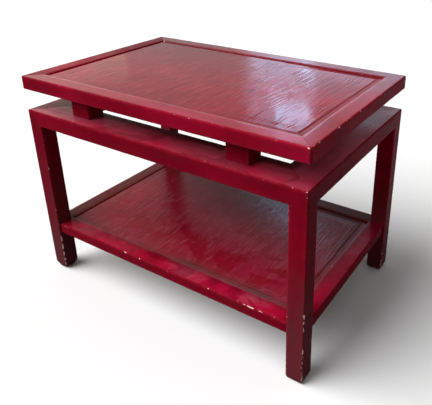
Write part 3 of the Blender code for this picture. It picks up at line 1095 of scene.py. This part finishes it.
def panel_grain(name, x, y, inset):
    """Depth of the grain's lines and height of its fibres at a place of a panel."""
    seed = PANEL_SEEDS[name]
    share = MARGIN_GRAIN * smooth_step((inset - TONGUE - GRAIN_START) / GRAIN_FADE)
    share += (1 - MARGIN_GRAIN) * smooth_step((inset - SLOPE_START - FIELD_SLOPE) / FIELD_FADE)
    middle, radius, lost = CALM_SPOTS[name]
    away = math.dist((x, y), middle) / radius
    line = share * grain_line(x, y, seed, GRAIN_LINES[name]) * (1 - lost * math.exp(-away * away))
    return line, share * flat_noise(x, y, FIBRE_SCALE, seed + FIBRE_LAYER)


def panel_groove(name, inset):
    """Depth of the fine grooves round a field, from 0 to 1."""
    away = min(abs(inset - TONGUE - groove) for groove in GROOVES[name])
    return max(0.0, 1 - 2 * away / GROOVE_WIDTH) * (FIELD_GROOVE if inset > SLOPE_START else 1.0)


def panel_border(x, y, inset, shown, reach):
    """Darkening along the border of a panel, with painted shade on the margin close to the frame."""
    wide = BORDER_SHARE * (1 - smooth_step((inset - TONGUE) / BORDER_WIDTH))
    front = FRONT_SHARE * (1 - smooth_step((reach.y + y - TONGUE) / FRONT_BORDER))
    narrow = shown * (1 - smooth_step((inset - SLOPE_START) / NARROW_BORDER))
    return max(wide, front, narrow * (RIGHT_NARROW_SHARE if reach.x - x <= inset else 1.0))


def panel_gloom(name, x, y, reach):
    """Painted shade towards the back of a panel, part of it lost to the right."""
    share, lost, start, end = BACK_PAINTED_SHADE[name]
    gleam = lost * smooth_step((x / reach.x - start) / (end - start))
    return share * (1 - gleam) * smooth_step((y + PAINTED_SHADE_LEAD) / (reach.y + PAINTED_SHADE_LEAD))


def panel_point(name, x, y, top, reach):
    """A point of a panel's upper side, and its relief, border and painted shade."""
    inset = min(reach.x - abs(x), reach.y - abs(y))
    shown = smooth_step((x / reach.x - LINE_START[name]) / LINE_FADE)
    crisp = shown * (FRONT_SLOPE if reach.y + y <= inset else 1.0)
    slope_width = FIELD_SLOPE * (1 + SLOPE_SOFTNESS * (1 - crisp))
    rise = min(1.0, max(1 - crisp, (inset - SLOPE_START) / slope_width))
    line, fibre = panel_grain(name, x, y, inset)
    groove = shown * panel_groove(name, inset)
    z = top - FIELD_RISE * (1 - rise) - GROOVE_DEPTH * groove
    z += FIBRE_DEPTH[name] * fibre - GRAIN_DEPTH[name] * line
    on_slope = abs(inset - SLOPE_START - FIELD_SLOPE / 2) < FIELD_SLOPE
    darkening = max(line, GROOVE_DIRT * groove, SLOPE_DIRT * crisp if on_slope else 0.0)
    point = rippled(Vector((x, y, z)), PANEL_RIPPLE)
    return point, 1 - darkening, panel_border(x, y, inset, shown, reach), panel_gloom(name, x, y, reach)


def panel_lines(reach, step, grooves):
    """Grid lines across a panel, some on the edges of its tongue, margin, slope and grooves."""
    edges = [0, TONGUE, SLOPE_START, SLOPE_START + FIELD_SLOPE]
    edges += [TONGUE + groove + GROOVE_WIDTH * k for groove in grooves for k in (-0.5, 0, 0.5)]
    edges.sort()
    inner = reach - edges[-1]
    return [-reach + d for d in edges] + between(-inner, inner, step) + [reach - d for d in reversed(edges)]


def panel(name, material):
    """A panel with open grain and fine grooves on its upper side, and a flat underside."""
    node = name + "_panel"
    low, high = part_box(node)
    reach = (high - low) / 2
    xs = panel_lines(reach.x, PANEL_STEP[0], GROOVES[name])
    ys = panel_lines(reach.y, PANEL_STEP[1], GROOVES[name])
    surface = [panel_point(name, x, y, high.z, reach) for y in ys for x in xs]
    faces = grid_faces(len(xs), len(ys))
    rim = grid_rim(len(xs), len(ys))
    under = list(range(len(surface), len(surface) + len(rim)))
    surface += [(Vector((*surface[k][0].xy, low.z)), 1.0, 1.0, 0.0) for k in rim]
    for k in range(len(rim)):
        n = (k + 1) % len(rim)
        faces.append((rim[k], under[k], under[n], rim[n]))
    faces.append(under[::-1])
    points, relief, border, gloom = zip(*surface)
    return new_piece("worn_" + node, points, faces, material, relief=relief, border=border, gloom=gloom)


# The whole table

def build():
    top = frame_rails("top", groove_section("top"), MITRE_GAP, CORNER_ROUNDING)
    shelf = frame_rails("shelf", groove_section("shelf"), MITRE_GAP, ARRIS)
    base, legs = base_and_legs()
    for name, rails in (("top", top), ("shelf", shelf), ("base", base)):
        for side, piece in rails.items():
            node = name + "_rail_" + side
            tools = chip_tools(node, rail_edges(name, side))
            if name == "shelf":
                tools += leg_tools(side, piece.data.materials[0])
            carve(piece, tools)
            dress(piece, "frame_lacquer", node)
    for where, piece in legs.items():
        carve(piece, chip_tools("leg_" + where, leg_edges(where)))
        dress(piece, "frame_lacquer", "leg_" + where)
    for where in CORNERS:
        node = "spacer_" + where
        block = rounded_box("worn_" + node, *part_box(node), BLOCK_ARRIS, SATIN["base", "x"])
        dress(block, "frame_lacquer", node)
    for name, material in GRAINED.items():
        dress(panel(name, material), "panel_lacquer", name + "_panel")
    for name, node in frame["nodes"].items():
        if "batten" in name or "peg" in name:
            node.data.materials.clear()
            node.data.materials.append(WOOD)


# Stage, light and camera

# A pale floor: its colour where it is seen, and the one with which it throws light back
FLOOR_RADIUS = 14.0
FLOOR_SEGMENTS = 96
FLOOR_SEEN = (0.995, 0.995, 0.995, 1)
FLOOR_BOUNCE = (0.15, 0.15, 0.15, 1)

# Strength of the world as a fill, and where it is seen or mirrored
FILL_STRENGTH = 0.22
BACKGROUND_STRENGTH = 1.0

# Key light, and a warm one beside the left end
KEY_PLACE = (-1.7, -1.5, 2.3)
KEY_STRENGTH = 3.66
KEY_ANGLE = 0.95
WARM_PLACE = (-2.8, 1.4, 1.0)
WARM_TARGET = (-0.2, 0, 0.5)
WARM_SIZE = (1.4, 0.8)
WARM_POWER = 2.0
WARM_COLOUR = (1.0, 0.85, 0.45)

# A window behind the table, seen in the gloss of the top: place, size and brightness of its parts
WINDOW_LIGHTS = (
    ("upper_pane", (-0.915, 2.018, 1.464), (0.231, 0.185), 7.5),
    ("lower_pane", (-1.006, 2.348, 1.244), (0.082, 0.055), 8.0),
    ("side_pane", (-1.089, 2.014, 1.5), (0.25, 0.2), 1.2),
    ("curtain", (-1.0, 2.154, 1.337), (0.326, 0.506), 0.6),
    ("curtain_edge", (-1.06, 2.119, 1.338), (0.462, 0.506), 0.6),
    ("wall", (-1.075, 2.153, 1.332), (0.505, 0.6), 0.85),
    ("right_wall", (-0.511, 2.348, 1.213), (0.685, 0.35), 0.85),
    ("low_wall", (-0.892, 2.546, 1.185), (1.19, 0.3), 1.5),
)
WINDOW_TARGET = (0.2, 0, 0.5)
WINDOW_COLOUR = (0.4, 0.67, 1.0)

# Camera: place, turn from looking straight down, lens and sensor in millimetres, and shift
CAMERA_PLACE = (0.7007, -0.9029, 0.8547)
CAMERA_TURN = (math.pi / 2 - 0.4101, -0.0018, 0.5552)
CAMERA_LENS = 44.34
CAMERA_SENSOR = 36.0
CAMERA_SHIFT = (-0.1211, -0.1523)


def floor():
    """A pale floor that looks white and throws back little light."""
    shape = bmesh.new()
    bmesh.ops.create_circle(shape, cap_ends=True, segments=FLOOR_SEGMENTS, radius=FLOOR_RADIUS)
    material = bpy.data.materials.new("floor_white")
    nodes = Nodes(material)
    nodes.tree.nodes.clear()
    colour = nodes.mix(nodes.seen_directly(), FLOOR_BOUNCE, FLOOR_SEEN)
    surface = nodes.node("ShaderNodeBsdfDiffuse", Color=colour)
    nodes.node("ShaderNodeOutputMaterial", Surface=surface.outputs[0])
    new_object("floor", shape, material)


def world():
    """A soft fill, and a white background where it is seen or mirrored."""
    made = bpy.data.worlds.new("studio")
    bpy.context.scene.world = made
    nodes = Nodes(made)
    nodes.tree.nodes.clear()
    mixed = nodes.node("ShaderNodeMixShader", Fac=nodes.seen_directly())
    for socket, strength in zip(mixed.inputs[1:], (FILL_STRENGTH, BACKGROUND_STRENGTH)):
        light = nodes.node("ShaderNodeBackground", Color=(1, 1, 1, 1), Strength=strength)
        nodes.feed(socket, light.outputs[0])
    nodes.node("ShaderNodeOutputWorld", Surface=mixed.outputs[0])


def lamp(name, kind, place, target, **values):
    """A lamp that looks at a target and is not seen itself."""
    data = bpy.data.lights.new(name, kind)
    for key, value in values.items():
        setattr(data, key, value)
    light = bpy.data.objects.new(name, data)
    light.location = place
    light.rotation_euler = (Vector(target) - Vector(place)).to_track_quat("-Z", "Y").to_euler()
    light.visible_camera = False
    bpy.context.scene.collection.objects.link(light)
    return light


def panel_lamp(name, place, target, size, power, colour):
    return lamp(name, "AREA", place, target, shape="RECTANGLE", size=size[0], size_y=size[1], energy=power,
                color=colour)


def lights():
    lamp("key", "SUN", KEY_PLACE, (0, 0, 0), energy=KEY_STRENGTH, angle=KEY_ANGLE)
    for name, place, size, brightness in WINDOW_LIGHTS:
        power = brightness * math.pi * size[0] * size[1]
        pane = panel_lamp(name, place, WINDOW_TARGET, size, power, WINDOW_COLOUR)
        pane.visible_diffuse = False
    panel_lamp("warm", WARM_PLACE, WARM_TARGET, WARM_SIZE, WARM_POWER, WARM_COLOUR)


def camera():
    data = bpy.data.cameras.new("camera")
    data.sensor_width = CAMERA_SENSOR
    data.lens = CAMERA_LENS
    data.shift_x, data.shift_y = CAMERA_SHIFT
    made = bpy.data.objects.new("camera", data)
    made.location = CAMERA_PLACE
    made.rotation_euler = CAMERA_TURN
    bpy.context.scene.collection.objects.link(made)
    bpy.context.scene.camera = made


build()
floor()
world()
lights()
camera()
bpy.context.scene.view_settings.view_transform = "Standard"
